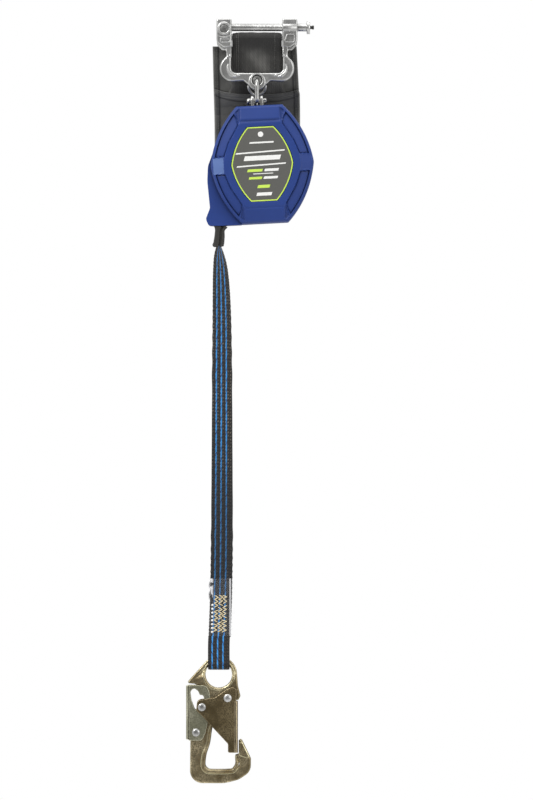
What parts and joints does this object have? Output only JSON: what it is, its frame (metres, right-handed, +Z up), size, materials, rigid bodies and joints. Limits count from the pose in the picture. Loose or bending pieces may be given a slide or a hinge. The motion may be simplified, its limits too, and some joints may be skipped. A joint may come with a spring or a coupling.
{
  "type": "self retracting lifeline",
  "caption": "Personal webbing fall arrester: shield-shaped blue casing hung by a link from a pin yoke with strap and absorber pouch, ending in a double-action snap hook.",
  "frame": {"origin": "middle of the locking pin between the yoke's ears, from which the device hangs", "axes": "+Z up, +X along the locking pin towards its push button, -Y towards the labelled front cover"},
  "size_m": [0.128, 0.0759, 0.7638],
  "materials": {
    "cast_steel": "cast and tumbled",
    "plated_steel": "bright plated",
    "dark_button": "black oxide",
    "frame_steel": "plated",
    "spring_steel": "oiled",
    "bronze": "plain",
    "blue_plastic": "moulded, fine texture",
    "black_plastic": "moulded",
    "label": "printed film",
    "strap": "polyester webbing",
    "pouch": "woven cover with bound edges",
    "tear_webbing": "folded webbing",
    "lifeline": "woven webbing with blue tracers",
    "sleeve": "moulded",
    "clear_sleeve": "clear heat shrink",
    "zinc_body": "forged, yellow zinc plated",
    "zinc_gate": "pressed, dull zinc plated"
  },
  "bodies": {
    "connector": {"yoke": "cast_steel", "strap_bar": "plated_steel", "keeper_wire": "plated_steel"},
    "lock_pin": {"locking_pin": "plated_steel", "detent_ball_front": "plated_steel", "detent_ball_rear": "plated_steel", "button_spring": "spring_steel"},
    "button": {"pin_button": "dark_button"},
    "pack": {"connector_strap": "strap", "absorber_pouch": "pouch", "tear_webbing": "tear_webbing"},
    "link": {"swivel_link": "plated_steel"},
    "device": {"clevis": "cast_steel", "hang_bolt": "plated_steel", "hang_nut": "plated_steel", "front_cover": "blue_plastic", "rear_cover": "blue_plastic", "label_plate": "label", "nozzle_guide": "black_plastic", "cover_screw_lower_left": "frame_steel", "cover_screw_lower_right": "frame_steel", "cover_screw_upper_left": "frame_steel", "cover_screw_upper_right": "frame_steel", "front_frame_plate": "frame_steel", "rear_frame_plate": "frame_steel", "spacer_upper_left": "frame_steel", "spacer_upper_right": "frame_steel", "spacer_lower_left": "frame_steel", "spacer_lower_right": "frame_steel", "drum_axle": "frame_steel", "ratchet_ring": "frame_steel", "spring_case": "black_plastic", "power_spring": "spring_steel"},
    "drum": {"drum_hub": "black_plastic", "front_flange": "frame_steel", "rear_flange": "frame_steel", "front_bush": "bronze", "rear_bush": "bronze", "wound_webbing": "lifeline", "spring_arbor": "frame_steel", "pawl_pin_1": "frame_steel", "pawl_pin_2": "frame_steel", "pawl_spring_1": "spring_steel", "pawl_spring_2": "spring_steel"},
    "pawl_a": {"pawl_1": "frame_steel"},
    "pawl_b": {"pawl_2": "frame_steel"},
    "line": {"feed_webbing": "lifeline", "stop_sleeve": "sleeve", "lifeline": "lifeline", "splice_fold": "lifeline", "splice_sleeve": "clear_sleeve", "eye_loop": "lifeline"},
    "hook": {"hook_body": "zinc_body", "gate_rivet": "plated_steel", "lever_rivet": "plated_steel", "gate_spring": "spring_steel", "lever_spring": "spring_steel"},
    "gate": {"gate": "zinc_gate", "catch_rivet": "plated_steel"},
    "lever": {"lever": "zinc_gate"}
  },
  "joints": [
    {"name": "lock_pin_slide", "type": "slide", "parent": "connector", "child": "lock_pin", "axis": [1, 0, 0], "range_m": [0, 0.056]},
    {"name": "button_push", "type": "slide", "parent": "lock_pin", "child": "button", "axis": [-1, 0, 0], "range_m": [0, 0.0025], "stiffness_N_per_m": 600, "springref_m": -0.002},
    {"name": "pack_hinge", "type": "hinge", "parent": "connector", "child": "pack", "pos_m": [0, 0, -0.01], "axis": [1, 0, 0], "range_deg": [0, 40]},
    {"name": "link_sway", "type": "hinge", "parent": "connector", "child": "link", "pos_m": [0, 0, -0.0516], "axis": [0, 1, 0], "range_deg": [-10, 10]},
    {"name": "device_pitch", "type": "hinge", "parent": "link", "child": "device", "pos_m": [0, 0, -0.0733], "axis": [-0.9986, 0, -0.0523], "range_deg": [0, 35]},
    {"name": "line_payout", "type": "slide", "parent": "device", "child": "line", "axis": [0, 0, -1], "range_m": [0, 1.7], "stiffness_N_per_m": 3, "springref_m": -3, "deforming": ["feed_webbing"]},
    {"name": "drum_spin", "type": "hinge", "parent": "device", "child": "drum", "pos_m": [0.0053, 0, -0.1375], "axis": [0, -1, 0], "range_deg": [0, 3250]},
    {"name": "pawl_a_swing", "type": "hinge", "parent": "drum", "child": "pawl_a", "pos_m": [0.03226, 0, -0.13609], "axis": [0, 1, 0], "range_deg": [0, 13], "stiffness_Nm_per_rad": 0.01, "springref_deg": -14.32},
    {"name": "pawl_b_swing", "type": "hinge", "parent": "drum", "child": "pawl_b", "pos_m": [-0.02166, 0, -0.13891], "axis": [0, 1, 0], "range_deg": [0, 13], "stiffness_Nm_per_rad": 0.01, "springref_deg": -14.32},
    {"name": "hook_swing", "type": "hinge", "parent": "line", "child": "hook", "pos_m": [-0.0382, 0, -0.6341], "axis": [1, 0, 0], "range_deg": [-80, 80]},
    {"name": "gate_open", "type": "hinge", "parent": "hook", "child": "gate", "pos_m": [-0.0293, 0, -0.6701], "axis": [0, 1, 0], "range_deg": [0, 20], "stiffness_Nm_per_rad": 0.2, "springref_deg": -17.19},
    {"name": "lever_squeeze", "type": "hinge", "parent": "hook", "child": "lever", "pos_m": [-0.0609, 0, -0.7046], "axis": [0, 1, 0], "range_deg": [0, 8], "stiffness_Nm_per_rad": 0.3, "springref_deg": -11.46}
  ],
  "couplings": [
    {"joint": "drum_spin", "follows": "line_payout", "rad_per_m": 33.264}
  ]
}
